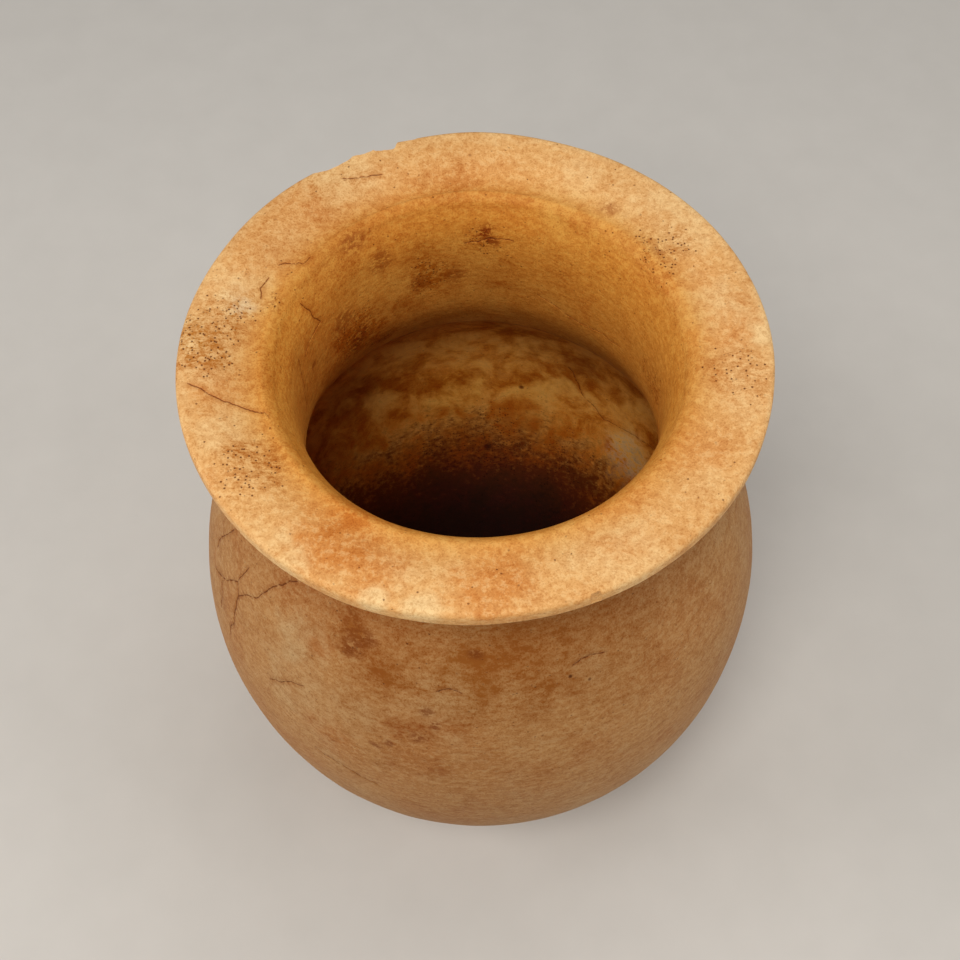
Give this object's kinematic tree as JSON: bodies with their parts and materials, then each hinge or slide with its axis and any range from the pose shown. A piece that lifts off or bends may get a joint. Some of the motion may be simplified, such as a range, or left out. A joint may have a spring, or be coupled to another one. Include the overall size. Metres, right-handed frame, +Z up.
{
  "type": "alabaster jar",
  "caption": "Round-bodied stone jar, turned and hollowed from one block, with a broad flat rim, a short wide neck and a small flat foot.",
  "frame": {"origin": "centre of the foot, on the surface that the jar stands on", "axes": "+Z up along the turning axis, -Y towards the side that the picture shows, +X to the picture's right"},
  "size_m": [0.164, 0.164, 0.178],
  "materials": {
    "alabaster": "worn polish, honey-coloured with cream edges, brown stains, fine cracks and pits"
  },
  "bodies": {
    "root": {"jar": "alabaster"}
  },
  "joints": []
}
